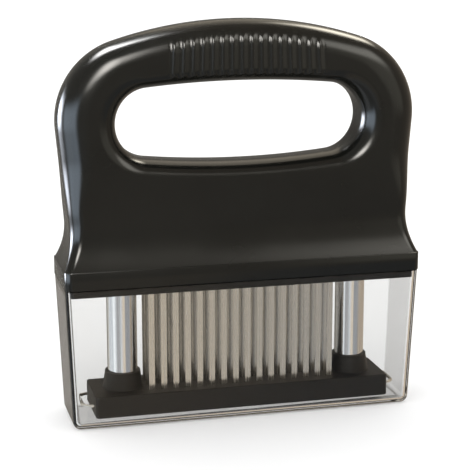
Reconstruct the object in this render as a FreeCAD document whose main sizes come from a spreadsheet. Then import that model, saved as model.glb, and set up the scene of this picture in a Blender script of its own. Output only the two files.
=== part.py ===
import FreeCAD, Part
import functools
import math
import os
import re

import Sketcher

# Blade meat tenderizer standing in its blade guard.  Millimetres, +Z up.  The origin is the middle
# of the guard's underside: X runs along the tool, -Y is its front.

DIMENSIONS = {
    # whole tool
    "overall_length": 150.0,
    "overall_depth": 35.0,
    "overall_height": 165.0,
    # clear blade guard
    "cover_height": 59.2,
    "cover_rim_inset": 0.2,
    "cover_draft_length": 2.4,
    "cover_draft_depth": 1.8,
    "cover_wall": 1.8,
    "cover_edge_radius": 3.4,
    # handle: flange and outline
    "rim_gap": 0.3,
    "flange_height": 7.65,
    "flange_corner_radius": 3.0,
    "crown_radius": 169.4,
    "shoulder_radius": 33.5,
    "waist_inset": 3.6,
    "waist_radius": 33.8,
    # handle: thickness from front to back
    "crown_thickness": 21.8,
    "trunk_thickness": 25.3,
    "flare_height": 16.0,
    # handle: rounding along the outline, from the flange up
    "foot_rounding": 3.6,
    "waist_rounding": 6.0,
    "crown_flat": 0.9,
    # finger opening
    "opening_side": 23.3,
    "opening_height": 32.5,
    "grip_height": 24.9,
    "opening_top_radius": 400.0,
    "opening_bottom_radius": 360.0,
    "opening_rounding": 7.0,
    # grip ribs
    "rib_end_gap": 19.2,
    "rib_pitch": 4.05,
    "rib_width": 2.1,
    "rib_rise": 0.7,
    "rib_foot_gap": 2.6,
    "rib_head_gap": 4.2,
    # handle: inside
    "handle_wall": 3.2,
    "cavity_straight": 5.0,
    "cavity_neck_rise": 10.0,
    "cavity_draft": 0.8,
    "cavity_roof": 11.55,
    "socket_gap": 2.4,
    "socket_wall": 2.4,
    "socket_clearance": 0.4,
    "screw_boss_radius": 2.9,
    # base plate
    "lip_depth": 3.0,
    "lip_clearance": 0.3,
    "lip_corner_radius": 1.6,
    "locating_rim_height": 1.5,
    "locating_rim_wall": 1.3,
    "locating_clearance": 0.2,
    "base_screw_end_inset": 8.8,
    "base_screw_side_inset": 11.3,
    "clamp_screw_end_inset": 11.675,
    "clamp_screw_side_inset": 1.9,
    "clamp_post_radius": 1.9,
    # blades
    "blade_pitch": 5.13,
    "blade_width": 2.45,
    "blade_thickness": 0.5,
    "blade_point": 3.0,
    "blade_recess": 2.4,
    "blade_head_width": 3.8,
    "blade_head_height": 1.5,
    "blade_clearance": 0.1,
    "guide_clearance": 0.25,
    # blade cassettes and clamp plate
    "cassette_height": 4.6,
    "cassette_depth": 4.4,
    "cassette_end_wall": 1.2,
    "cassette_clearance": 0.2,
    "clamp_plate_thickness": 1.6,
    "clamp_plate_gap": 1.1,
    # posts, plugs, bushes and springs
    "post_inset": 25.4,
    "post_radius": 6.25,
    "tube_wall": 0.9,
    "stop_rim": 0.95,
    "stop_thickness": 1.6,
    "plug_rim": 2.75,
    "plug_roof": 1.2,
    "plug_recess": 0.6,
    "plug_spigot_length": 8.0,
    "bush_wall": 1.0,
    "bush_length": 7.4,
    "bush_collar_rim": 1.1,
    "bush_collar_thickness": 1.5,
    "fit_clearance": 0.05,
    "end_clearance": 0.8,
    "spring_wire": 1.0,
    "spring_clearance": 0.35,
    "spring_turns": 9,
    # foot plate
    "foot_gap": 2.2,
    "foot_end_gap": 12.0,
    "foot_side_gap": 4.5,
    "foot_thickness": 9.2,
    "foot_corner_radius": 1.6,
    "foot_rim_radius": 0.6,
    "boss_height": 7.4,
    "boss_base_wall": 2.15,
    "boss_top_wall": 1.05,
    "boss_fillet_radius": 0.7,
    # retaining clips
    "clip_wire_radius": 0.65,
    "clip_level": 4.3,
    "clip_past_post": 5.6,
    "clip_reach": 4.4,
    "clip_bend_radius": 4.0,
    "clip_clearance": 0.1,
    "clip_groove_depth": 1.5,
    # screws
    "base_screw_radius": 1.45,
    "base_screw_head_radius": 2.7,
    "base_screw_head_height": 1.5,
    "base_screw_length": 14.0,
    "clamp_screw_radius": 1.0,
    "clamp_screw_head_radius": 1.8,
    "clamp_screw_head_height": 1.2,
    "clamp_screw_length": 6.0,
}

# What follows from them: levels above the ground, and sizes that several pieces share.
DERIVED = {
    "flange_bottom": "cover_height + rim_gap",
    "flange_top": "flange_bottom + flange_height",
    "flare_top": "flange_top + flare_height",
    "flank_lean": "(trunk_thickness - crown_thickness) / 2 / (overall_height - flare_top)",
    "crown_centre": "overall_height - crown_radius",
    "shoulder_centre": "overall_length / 2 - shoulder_radius",
    "shoulder_rise": "(crown_radius - shoulder_radius) ^ 2 - shoulder_centre ^ 2",
    "shoulder_level": "crown_centre + sqrt(shoulder_rise)",
    "waist_centre": "overall_length / 2 - waist_inset + waist_radius",
    "crown_rounding": "crown_thickness / 2 - crown_flat",
    "opening_length": "overall_length - 2 * opening_side",
    "opening_top": "overall_height - grip_height",
    "opening_bottom": "opening_top - opening_height",
    "rib_count": "floor((opening_length - 2 * rib_end_gap) / rib_pitch)",
    "lip_bottom": "cover_height - lip_depth",
    "lip_inset": "cover_rim_inset + cover_wall + lip_clearance",
    "post_x": "overall_length / 2 - post_inset",
    "stop_radius": "post_radius + stop_rim",
    "plug_head_radius": "post_radius + plug_rim",
    "bush_outer_radius": "post_radius + fit_clearance + bush_wall",
    "bush_collar_radius": "bush_outer_radius + bush_collar_rim",
    "bush_top": "lip_bottom + bush_length",
    "stop_bottom": "bush_top + fit_clearance",
    "post_top": "stop_bottom + stop_thickness",
    "cavity_top": "opening_bottom - cavity_roof",
    "cavity_neck": "flange_top + cavity_neck_rise",
    "cavity_half_length": "overall_length / 2 - handle_wall",
    "cavity_half_depth": "overall_depth / 2 - handle_wall",
    "rim_half_length": "cavity_half_length - locating_clearance",
    "rim_half_depth": "cavity_half_depth - locating_clearance",
    "cassette_top": "flange_bottom + cassette_height",
    "clamp_top": "cassette_top + clamp_plate_thickness",
    "cassette_end": "blade_head_width / 2 + blade_clearance + cassette_end_wall",
    "blade_reach": "post_x - bush_outer_radius - cassette_clearance - cassette_end",
    "blade_count": "floor(2 * blade_reach / blade_pitch) + 1",
    "row_length": "blade_pitch * (blade_count - 1)",
    "cassette_length": "row_length + 2 * cassette_end",
    "clamp_plate_depth": "2 * (cavity_half_depth - clamp_plate_gap)",
    "clamp_screw_x": "cassette_length / 2 - clamp_screw_end_inset",
    "clamp_screw_y": "clamp_plate_depth / 2 - clamp_screw_side_inset",
    "row_pitch": "clamp_screw_y - clamp_post_radius - cassette_clearance - cassette_depth / 2",
    "base_screw_x": "overall_length / 2 - base_screw_end_inset",
    "base_screw_y": "overall_depth / 2 - base_screw_side_inset",
    "foot_length": "overall_length - 2 * foot_end_gap",
    "foot_depth": "overall_depth - 2 * foot_side_gap",
    "foot_bottom": "cover_wall + foot_gap",
    "foot_top": "foot_bottom + foot_thickness",
    "boss_top": "foot_top + boss_height",
    "boss_base_radius": "post_radius + boss_base_wall",
    "boss_top_radius": "post_radius + boss_top_wall",
    "blade_tip": "foot_bottom + blade_recess",
    "plug_bottom": "foot_bottom + plug_recess",
    "plug_seat": "foot_top - plug_roof",
    "plug_top": "plug_seat + plug_spigot_length",
    "tube_bore": "post_radius - tube_wall",
    "spring_radius": "tube_bore - spring_clearance - spring_wire / 2",
    "clip_start": "post_x - clip_past_post",
    "clip_z": "foot_bottom + clip_level",
    "clip_y": "plug_head_radius - clip_groove_depth + clip_wire_radius + fit_clearance",
}

doc = FreeCAD.newDocument("blade_tenderizer")
dims = doc.addObject("Spreadsheet::Sheet", "dims")
for row, (name, size) in enumerate(DIMENSIONS.items(), start=1):
    dims.set(f"A{row}", name)
    dims.set(f"B{row}", str(size))
    dims.setAlias(f"B{row}", name)
derived = doc.addObject("Spreadsheet::Sheet", "derived")
doc.recompute()

NAMES = sorted([*DIMENSIONS, *DERIVED], key=len, reverse=True)
WORDS = re.compile(r"\b(" + "|".join(NAMES) + r")\b")


def linked(formula, inside=None):
    """The formula with each name led by the sheet that holds it."""

    def lead(match):
        word = match.group()
        if word in DIMENSIONS:
            return f"dims.{word}"
        return word if inside is derived else f"derived.{word}"

    return WORDS.sub(lead, str(formula))


for row, (name, formula) in enumerate(DERIVED.items(), start=1):
    derived.set(f"A{row}", name)
    derived.set(f"B{row}", "=" + linked(formula, derived))
    derived.setAlias(f"B{row}", name)
doc.recompute()


gauge = doc.addObject("Spreadsheet::Sheet", "gauge")


@functools.cache
def mm(formula):
    """The present size of a formula of the named values."""
    gauge.set("A1", "=" + linked(formula))
    gauge.recompute()
    return float(gauge.get("A1"))


# ---- drawing helpers ------------------------------------------------------------------------

PAST = 5.0  # how far a cut runs on past the surface it leaves

TOP_VIEW, FRONT_VIEW, SIDE_VIEW = "XY_Plane", "XZ_Plane", "YZ_Plane"
ORIGIN = (-1, 1)
PARTS = []


def new_body(name):
    return doc.addObject("PartDesign::Body", name)


def origin_feature(body, role):
    return next(feature for feature in body.Origin.OriginFeatures if feature.Role == role)


def new_sketch(body, name, view, level="0", across="0"):
    """A sketch on one of the body's own planes, moved along that plane's normal and width."""
    sketch = body.newObject("Sketcher::SketchObject", name)
    sketch.AttachmentSupport = [(origin_feature(body, view), "")]
    sketch.MapMode = "FlatFace"
    sketch.setExpression("AttachmentOffset.Base.x", linked(across))
    sketch.setExpression("AttachmentOffset.Base.z", linked(level))
    return sketch


def constrain(sketch, kind, *where, size=None):
    """Adds a constraint, bound to a formula where it has a size."""
    if size is None:
        sketch.addConstraint(Sketcher.Constraint(kind, *where))
        return
    number = sketch.addConstraint(Sketcher.Constraint(kind, *where, mm(size)))
    sketch.setExpression(f"Constraints[{number}]", linked(size))


def place(sketch, edge, point, across, up):
    """Fixes a point of the sketch at two formulas, from the sketch's origin."""
    constrain(sketch, "DistanceX", *ORIGIN, edge, point, size=across)
    constrain(sketch, "DistanceY", *ORIGIN, edge, point, size=up)


def draw_polygon(sketch, corners):
    """A closed outline of straight lines through corners given as pairs of formulas."""
    first = sketch.GeometryCount
    count = len(corners)
    places = [(mm(across), mm(up)) for across, up in corners]
    for step in range(count):
        sketch.addGeometry(line(places[step], places[(step + 1) % count]))
    for step in range(count):
        constrain(sketch, "Coincident", first + step, 2, first + (step + 1) % count, 1)
    for step, (across, up) in enumerate(corners):
        place(sketch, first + step, 1, across, up)


def draw_rectangle(sketch, half_width, half_height, across="0", up="0"):
    left, right = f"{across} - ({half_width})", f"{across} + ({half_width})"
    low, high = f"{up} - ({half_height})", f"{up} + ({half_height})"
    draw_polygon(sketch, [(left, low), (right, low), (right, high), (left, high)])


def arc(centre_x, centre_y, radius, start, end):
    """An arc that runs anticlockwise between two angles, in degrees."""
    circle = Part.Circle(FreeCAD.Vector(centre_x, centre_y), FreeCAD.Vector(0, 0, 1), radius)
    return Part.ArcOfCircle(circle, math.radians(start), math.radians(end))


def line(start, end):
    return Part.LineSegment(FreeCAD.Vector(*start), FreeCAD.Vector(*end))


def draw_rounded_rectangle(sketch, half_width, half_height, radius):
    """Four lines and four tangent corner arcs about the sketch's origin."""
    wide, high, turn = mm(half_width), mm(half_height), mm(radius)
    flat, tall = wide - turn, high - turn
    corners = [(flat, -tall, -90), (flat, tall, 0), (-flat, tall, 90), (-flat, -tall, 180)]
    sides = [
        line((-flat, -high), (flat, -high)),
        line((wide, -tall), (wide, tall)),
        line((flat, high), (-flat, high)),
        line((-wide, tall), (-wide, -tall)),
    ]
    first = sketch.GeometryCount
    for side, (corner_x, corner_y, start) in zip(sides, corners):
        sketch.addGeometry(side)
        sketch.addGeometry(arc(corner_x, corner_y, turn, start, start + 90))
    for step in range(8):
        constrain(sketch, "Tangent", first + step, 2, first + (step + 1) % 8, 1)
    for step, (corner_x, corner_y, _) in enumerate(corners):
        across = f"{math.copysign(1, corner_x):.0f} * (({half_width}) - ({radius}))"
        up = f"{math.copysign(1, corner_y):.0f} * (({half_height}) - ({radius}))"
        constrain(sketch, "Radius", first + 2 * step + 1, size=radius)
        place(sketch, first + 2 * step + 1, 3, across, up)


def draw_circle(sketch, radius, across="0", up="0"):
    edge = sketch.addGeometry(Part.Circle(FreeCAD.Vector(), FreeCAD.Vector(0, 0, 1), 1))
    constrain(sketch, "Radius", edge, size=radius)
    place(sketch, edge, 3, across, up)


def draw_circles(sketch, radius, across, up="0"):
    """Equal circles at both signs of the given place, or at all four."""
    for column in (across, f"-({across})"):
        for row in (up,) if up == "0" else (up, f"-({up})"):
            draw_circle(sketch, radius, column, row)


def pad(body, sketch, length, symmetric=False, reverse=False):
    feature = body.newObject("PartDesign::Pad", sketch.Name + "_pad")
    feature.Profile = sketch
    feature.SideType = "Symmetric" if symmetric else "One side"
    feature.Reversed = reverse
    feature.setExpression("Length", linked(length))
    sketch.Visibility = False
    return feature


def pocket(body, sketch, length, symmetric=False, reverse=False):
    """A cut against the sketch's normal, unless it is reversed or goes both ways."""
    doc.recompute()
    before = body.Shape.Volume
    feature = body.newObject("PartDesign::Pocket", sketch.Name + "_cut")
    feature.Profile = sketch
    feature.SideType = "Symmetric" if symmetric else "One side"
    feature.Reversed = reverse
    feature.setExpression("Length", linked(length))
    doc.recompute()
    if feature.Shape.Volume >= before - 1e-6:
        raise RuntimeError(f"{feature.Name} cuts nothing")
    return feature


def revolve(body, sketch):
    """A full turn about the sketch's vertical axis."""
    feature = body.newObject("PartDesign::Revolution", sketch.Name + "_turn")
    feature.Profile = sketch
    feature.ReferenceAxis = (sketch, ["V_Axis"])
    feature.Angle = 360
    return feature


def row_along_x(body, feature, pitch, count):
    pattern = body.newObject("PartDesign::LinearPattern", feature.Name + "_row")
    pattern.Originals = [feature]
    pattern.Direction = (origin_feature(body, "X_Axis"), [""])
    pattern.setExpression("Length", linked(f"{pitch} * ({count} - 1)"))
    pattern.setExpression("Occurrences", linked(count))
    body.Tip = pattern
    return pattern


def edges_where(feature, wanted):
    """Names of the feature's edges that pass the test."""
    doc.recompute()
    edges = feature.Shape.Edges
    return [f"Edge{number}" for number, edge in enumerate(edges, start=1) if wanted(edge)]


def fillet(body, feature, radius, wanted):
    rounding = body.newObject("PartDesign::Fillet", feature.Name + "_rounding")
    rounding.Base = (feature, edges_where(feature, wanted))
    rounding.setExpression("Radius", linked(radius))
    return rounding


def fuse(name, pieces):
    """One solid out of several overlapping or touching ones."""
    joined = doc.addObject("Part::MultiFuse", name)
    joined.Shapes = pieces
    joined.Refine = True
    doc.recompute()
    return joined


def near(first, second):
    return abs(first - second) < 1e-4


def runs_along(edge, axis):
    """Whether an edge is a straight line along x, y or z."""
    box = edge.BoundBox
    spans = {"x": box.XLength, "y": box.YLength, "z": box.ZLength}
    others = [span for name, span in spans.items() if name != axis]
    return spans[axis] > 1e-3 and max(others) < 1e-4


def at_level(edge, level):
    return near(edge.BoundBox.ZMin, level) and near(edge.BoundBox.ZMax, level)


def finish(shape_object, label, x="0", y="0", z="0", turn=0):
    """Makes an object one of the finished pieces, at its place."""
    shape_object.Label = label
    shape_object.Placement.Rotation = FreeCAD.Rotation(FreeCAD.Vector(0, 0, 1), turn)
    for axis, formula in (("x", x), ("y", y), ("z", z)):
        shape_object.setExpression(f".Placement.Base.{axis}", linked(formula))
    PARTS.append(shape_object)
    return shape_object


# ---- handle ---------------------------------------------------------------------------------

def draw_trunk_outline(sketch):
    """The handle's front outline: waists, leaning sides, shoulders and crown, all tangent."""
    half, foot = mm("overall_length / 2"), mm("flange_top")
    crown, crown_z = mm("crown_radius"), mm("crown_centre")
    shoulder, shoulder_x, shoulder_z = mm("shoulder_radius"), mm("shoulder_centre"), mm("shoulder_level")
    waist, waist_x = mm("waist_radius"), mm("waist_centre")
    waist_z = foot + math.sqrt(waist**2 - (waist_x - half) ** 2)
    spread = math.hypot(waist_x - shoulder_x, waist_z - shoulder_z)
    heading = math.degrees(math.atan2(waist_z - shoulder_z, waist_x - shoulder_x))
    lean = heading + math.degrees(math.acos((shoulder + waist) / spread))
    top = math.degrees(math.atan2(shoulder_z - crown_z, shoulder_x))
    corner = 360 + math.degrees(math.atan2(foot - waist_z, half - waist_x))
    sideways, upward = math.cos(math.radians(lean)), math.sin(math.radians(lean))
    side_low = (waist_x - waist * sideways, waist_z - waist * upward)
    side_high = (shoulder_x + shoulder * sideways, shoulder_z + shoulder * upward)
    outline = [
        line((-half, foot), (half, foot)),
        arc(waist_x, waist_z, waist, 180 + lean, corner),
        line(side_low, side_high),
        arc(shoulder_x, shoulder_z, shoulder, lean, top),
        arc(0, crown_z, crown, top, 180 - top),
        arc(-shoulder_x, shoulder_z, shoulder, 180 - top, 180 - lean),
        line((-side_high[0], side_high[1]), (-side_low[0], side_low[1])),
        arc(-waist_x, waist_z, waist, 180 - corner, -lean),
    ]
    for edge in outline:
        sketch.addGeometry(edge)
    base, right_waist, right_side, right_shoulder, crest, left_shoulder, left_side, left_waist = range(8)
    place(sketch, base, 1, "-overall_length / 2", "flange_top")
    place(sketch, base, 2, "overall_length / 2", "flange_top")
    constrain(sketch, "Coincident", base, 2, right_waist, 2)
    constrain(sketch, "Coincident", base, 1, left_waist, 1)
    constrain(sketch, "Tangent", right_waist, 1, right_side, 1)
    for edge in (right_side, right_shoulder, crest, left_shoulder):
        constrain(sketch, "Tangent", edge, 2, edge + 1, 1)
    constrain(sketch, "Tangent", left_side, 2, left_waist, 2)
    constrain(sketch, "Radius", crest, size="crown_radius")
    place(sketch, crest, 3, "0", "crown_centre")
    for shoulder_arc, waist_arc, way in ((right_shoulder, right_waist, ""), (left_shoulder, left_waist, "-")):
        constrain(sketch, "Radius", shoulder_arc, size="shoulder_radius")
        constrain(sketch, "DistanceX", *ORIGIN, shoulder_arc, 3, size=f"{way}shoulder_centre")
        constrain(sketch, "Radius", waist_arc, size="waist_radius")
        constrain(sketch, "DistanceX", *ORIGIN, waist_arc, 3, size=f"{way}waist_centre")


def draw_flank(sketch):
    """What is scooped off the trunk's back: the flare above the flange, then a taper."""
    root, neck = mm("overall_depth / 2"), mm("trunk_thickness / 2")
    foot, flare = mm("flange_top"), mm("flare_height")
    top = mm("overall_height") + PAST
    tip = neck - mm("flank_lean") * (top - foot - flare)
    sweep = 2 * math.degrees(math.atan2(root - neck, flare))
    hollow = flare / math.sin(math.radians(sweep))
    sketch.addGeometry(arc(neck + hollow, foot + flare, hollow, 180, 180 + sweep))
    sketch.addGeometry(line((neck, foot + flare), (tip, top)))
    sketch.addGeometry(line((tip, top), (root + PAST, top)))
    sketch.addGeometry(line((root + PAST, top), (root + PAST, foot)))
    sketch.addGeometry(line((root + PAST, foot), (root, foot)))
    constrain(sketch, "Tangent", 0, 1, 1, 1)
    for edge in (1, 2, 3):
        constrain(sketch, "Coincident", edge, 2, edge + 1, 1)
    constrain(sketch, "Coincident", 4, 2, 0, 2)
    place(sketch, 4, 2, "overall_depth / 2", "flange_top")
    place(sketch, 1, 1, "trunk_thickness / 2", "flare_top")
    place(sketch, 1, 2, f"crown_thickness / 2 - {PAST} * flank_lean", f"overall_height + {PAST}")
    place(sketch, 2, 2, f"overall_depth / 2 + {PAST}", f"overall_height + {PAST}")
    place(sketch, 3, 2, f"overall_depth / 2 + {PAST}", "flange_top")


def rounding_at(level):
    """The outline's edge rounding: small at the flange and the waist, full from the shoulders up."""
    if near(level, mm("flange_top")):
        return mm("foot_rounding")
    side_foot = mm("flare_top") + mm("waist_rounding")
    return mm("waist_rounding") if level < side_foot else mm("crown_rounding")


def make_trunk():
    """The solid trunk and grip above the flange: a rounded back half and its mirror image."""
    half = new_body("trunk_half")
    outline = new_sketch(half, "trunk_outline", FRONT_VIEW)
    draw_trunk_outline(outline)
    pad(half, outline, "overall_depth / 2", reverse=True)
    flank = new_sketch(half, "trunk_flank", SIDE_VIEW)
    draw_flank(flank)
    scooped = pocket(half, flank, f"overall_length + 2 * {PAST}", symmetric=True)
    foot = mm("flange_top")

    def outlines_back(edge):
        flat = runs_along(edge, "x") or runs_along(edge, "y") or at_level(edge, foot)
        return not flat and edge.BoundBox.YMin > 1

    rounded = doc.addObject("Part::Fillet", "trunk_rounded")
    rounded.Base = half
    radii = []
    for name in edges_where(scooped, outlines_back):
        edge = scooped.Shape.getElement(name)
        low, high = sorted(vertex.Z for vertex in edge.Vertexes)
        start, end = (low, high) if edge.CenterOfMass.x > 0 else (high, low)
        radii.append((int(name[4:]), rounding_at(start), rounding_at(end)))
    rounded.Edges = radii
    front = doc.addObject("Part::Mirroring", "trunk_front")
    front.Source = rounded
    front.Normal = FreeCAD.Vector(0, 1, 0)
    return fuse("trunk", [rounded, front])


def draw_opening(sketch):
    """The finger opening: two shallow arcs closed by end arcs that touch them and its ends."""
    half = mm("opening_length / 2")
    upper, lower = mm("opening_top_radius"), mm("opening_bottom_radius")
    upper_z, lower_z = mm("opening_top") - upper, mm("opening_bottom") + lower
    # the end arc's radius and level, from its touching both shallow arcs and the end line
    spread = lower_z - upper_z
    share = (upper - lower) / spread
    level = (spread + share * (upper + lower)) / 2
    square = share**2
    slope = upper - half - level * share
    rest = half**2 + level**2 - upper**2
    radius = rest / (-slope - math.sqrt(slope**2 - square * rest))
    end_x, end_z = half - radius, upper_z + level - share * radius
    high = math.degrees(math.atan2(end_z - upper_z, end_x))
    low = math.degrees(math.atan2(end_z - lower_z, end_x))
    for edge in (
        arc(0, upper_z, upper, high, 180 - high),
        arc(-end_x, end_z, radius, 180 - high, 180 - low),
        arc(0, lower_z, lower, -180 - low, low),
        arc(end_x, end_z, radius, low, high),
    ):
        sketch.addGeometry(edge)
    for edge in range(4):
        constrain(sketch, "Tangent", edge, 2, (edge + 1) % 4, 1)
    constrain(sketch, "Radius", 0, size="opening_top_radius")
    place(sketch, 0, 3, "0", "opening_top - opening_top_radius")
    constrain(sketch, "Radius", 2, size="opening_bottom_radius")
    place(sketch, 2, 3, "0", "opening_bottom + opening_bottom_radius")
    for end_arc, side, way in ((1, -half, "-"), (3, half, "")):
        gauge = sketch.addGeometry(line((side, upper_z + upper), (side, lower_z - lower)), True)
        place(sketch, gauge, 1, f"{way}opening_length / 2", "opening_top")
        place(sketch, gauge, 2, f"{way}opening_length / 2", "opening_bottom")
        constrain(sketch, "Tangent", end_arc, gauge)


def make_ribs():
    """The grip's ribs: upright bars, kept where a shell just proud of the grip covers them."""
    shell = new_body("rib_shell")
    face = new_sketch(shell, "rib_shell_face", FRONT_VIEW)
    half = mm("rib_pitch * rib_count / 2")
    outer, outer_z = mm("crown_radius + rib_rise"), mm("crown_centre")
    inner, inner_z = mm("opening_top_radius - rib_rise"), mm("opening_top - opening_top_radius")
    outer_turn, inner_turn = math.degrees(math.acos(half / outer)), math.degrees(math.acos(half / inner))
    outer_end = outer_z + math.sqrt(outer**2 - half**2)
    inner_end = inner_z + math.sqrt(inner**2 - half**2)
    face.addGeometry(arc(0, outer_z, outer, outer_turn, 180 - outer_turn))
    face.addGeometry(line((-half, outer_end), (-half, inner_end)))
    face.addGeometry(arc(0, inner_z, inner, inner_turn, 180 - inner_turn))
    face.addGeometry(line((half, inner_end), (half, outer_end)))
    for first, second in (((0, 2), (1, 1)), ((1, 2), (2, 2)), ((2, 1), (3, 1)), ((3, 2), (0, 1))):
        constrain(face, "Coincident", *first, *second)
    constrain(face, "Radius", 0, size="crown_radius + rib_rise")
    place(face, 0, 3, "0", "crown_centre")
    constrain(face, "Radius", 2, size="opening_top_radius - rib_rise")
    place(face, 2, 3, "0", "opening_top - opening_top_radius")
    for side, way in ((1, "-"), (3, "")):
        for end in (1, 2):
            constrain(face, "DistanceX", *ORIGIN, side, end, size=f"{way}rib_pitch * rib_count / 2")
    pad(shell, face, "overall_depth", symmetric=True)
    flanks = new_sketch(shell, "rib_shell_flanks", SIDE_VIEW)
    low, high = "opening_bottom", f"overall_height + {PAST}"
    for way in ("", "-"):
        reaches = [
            f"{way}(crown_thickness / 2 + rib_rise + flank_lean * (overall_height - ({level})))"
            for level in (low, high)
        ]
        outside = f"{way}(overall_depth / 2 + {PAST})"
        corners = [(reaches[0], low), (outside, low), (outside, high), (reaches[1], high)]
        draw_polygon(flanks, corners)
    cut = pocket(shell, flanks, f"overall_length + 2 * {PAST}", symmetric=True)
    middle = mm("(overall_height + opening_top) / 2")

    def long_edge(edge):
        return edge.BoundBox.XLength > half

    outside_edges = fillet(
        shell, cut, "crown_rounding + rib_rise", lambda edge: long_edge(edge) and edge.CenterOfMass.z > middle
    )
    fillet(
        shell,
        outside_edges,
        "opening_rounding + rib_rise",
        lambda edge: long_edge(edge) and abs(edge.CenterOfMass.y) > 5 and edge.BoundBox.ZMax < middle,
    )
    bars = new_body("rib_bars")
    bar = new_sketch(bars, "rib_bar", FRONT_VIEW)
    foot = "opening_top + rib_foot_gap"
    left = "-rib_pitch * (rib_count - 1) / 2"
    draw_rectangle(
        bar, "rib_width / 2", f"(overall_height - ({foot})) / 2", left, f"(overall_height + ({foot})) / 2"
    )
    first_bar = pad(bars, bar, "overall_depth", symmetric=True)
    row_of_bars = row_along_x(bars, first_bar, "rib_pitch", "rib_count")
    above = new_body("rib_heads")
    heads = new_sketch(above, "rib_head_line", FRONT_VIEW)
    draw_circle(heads, "crown_radius - rib_head_gap", "0", "crown_centre")
    pad(above, heads, "overall_depth", symmetric=True)
    trimmed = doc.addObject("Part::MultiCommon", "ribs")
    trimmed.Shapes = [bars, shell, above]
    doc.recompute()
    return trimmed


def make_handle():
    """Flange, trunk and ribbed grip in one moulding, hollow from below."""
    trunk = make_trunk()
    body = new_body("handle_moulding")
    body.BaseFeature = trunk
    doc.recompute()

    flange = new_sketch(body, "flange", TOP_VIEW, "flange_bottom")
    draw_rounded_rectangle(flange, "overall_length / 2", "overall_depth / 2", "flange_corner_radius")
    pad(body, flange, "flange_height")

    opening = new_sketch(body, "opening", FRONT_VIEW)
    draw_opening(opening)
    opened = pocket(body, opening, f"overall_depth + 2 * {PAST}", symmetric=True)
    half, low, high = mm("opening_length / 2"), mm("opening_bottom"), mm("opening_top")

    def rims_opening(edge):
        box = edge.BoundBox
        inside = max(-box.XMin, box.XMax) < half + 0.01 and low - 0.01 < box.ZMin < box.ZMax < high + 0.01
        return inside and not runs_along(edge, "y")

    fillet(body, opened, "opening_rounding", rims_opening)

    neck_half_length = "cavity_half_length - waist_inset"
    neck_half_depth = "trunk_thickness / 2 - handle_wall"
    draft = " - cavity_draft"
    sections = []
    for name, level, half_length, half_depth in (
        ("cavity_mouth", "flange_bottom", "cavity_half_length", "cavity_half_depth"),
        ("cavity_step", "flange_bottom + cavity_straight", "cavity_half_length", "cavity_half_depth"),
        ("cavity_waist", "cavity_neck", neck_half_length, neck_half_depth),
        ("cavity_ceiling", "cavity_top", neck_half_length + draft, neck_half_depth + draft),
    ):
        section = new_sketch(body, name, TOP_VIEW, level)
        draw_rectangle(section, half_length, half_depth)
        sections.append(section)
    cavity = body.newObject("PartDesign::SubtractiveLoft", "cavity")
    cavity.Profile = sections[0]
    cavity.Sections = sections[1:]
    cavity.Ruled = True
    doc.recompute()

    socket_foot = "bush_top + socket_gap"
    towers = new_sketch(body, "socket_towers", TOP_VIEW, socket_foot)
    draw_circles(towers, "stop_radius + socket_clearance + socket_wall", "post_x")
    pad(body, towers, f"cavity_top - ({socket_foot})")
    bosses = new_sketch(body, "screw_bosses", TOP_VIEW, "flange_bottom")
    draw_circles(bosses, "screw_boss_radius", "base_screw_x", "base_screw_y")
    pad(body, bosses, "cavity_top - flange_bottom")
    bores = new_sketch(body, "socket_bores", TOP_VIEW, socket_foot)
    draw_circles(bores, "stop_radius + socket_clearance", "post_x")
    pocket(body, bores, f"cavity_top - ({socket_foot})", reverse=True)
    pilots = new_sketch(body, "screw_pilots", TOP_VIEW, "flange_bottom")
    draw_circles(pilots, "base_screw_radius + fit_clearance", "base_screw_x", "base_screw_y")
    pocket(body, pilots, "base_screw_length", reverse=True)
    doc.recompute()
    return fuse("handle", [body, make_ribs()])


# ---- blade guard ----------------------------------------------------------------------------


def make_cover():
    """The clear guard: a drafted block, shelled from its open top and then rounded."""
    body = new_body("guard")
    front = new_sketch(body, "guard_front", FRONT_VIEW)
    rim, foot = "(overall_length / 2 - cover_rim_inset)", "cover_draft_length"
    draw_polygon(
        front,
        [
            (f"{foot} - {rim}", "0"),
            (f"{rim} - {foot}", "0"),
            (rim, "cover_height"),
            (f"-{rim}", "cover_height"),
        ],
    )
    pad(body, front, "overall_depth", symmetric=True)
    sides = new_sketch(body, "guard_sides", SIDE_VIEW)
    rim, foot = "(overall_depth / 2 - cover_rim_inset)", "cover_draft_depth"
    for way in ("", "-"):
        outside = f"{way}(overall_depth / 2 + {PAST})"
        draw_polygon(
            sides,
            [
                (f"{way}({rim} - {foot})", "0"),
                (outside, "0"),
                (outside, "cover_height"),
                (f"{way}{rim}", "cover_height"),
            ],
        )
    block = pocket(body, sides, f"overall_length + 2 * {PAST}", symmetric=True)
    doc.recompute()
    faces = block.Shape.Faces
    mouth = max(range(len(faces)), key=lambda number: faces[number].CenterOfMass.z)
    shell = body.newObject("PartDesign::Thickness", "guard_shell")
    shell.Base = (block, [f"Face{mouth + 1}"])
    shell.setExpression("Value", linked("cover_wall"))
    shell.Reversed = True
    shell.Join = "Intersection"
    rim_level, floor = mm("cover_height"), mm("cover_wall")

    def rises_from(level):
        return lambda edge: near(edge.BoundBox.ZMin, level) and not at_level(edge, rim_level)

    outside = fillet(body, shell, "cover_edge_radius", rises_from(0))
    fillet(body, outside, "cover_edge_radius - cover_wall", rises_from(floor))
    return body


# ---- base plate and what it carries ---------------------------------------------------------


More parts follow.
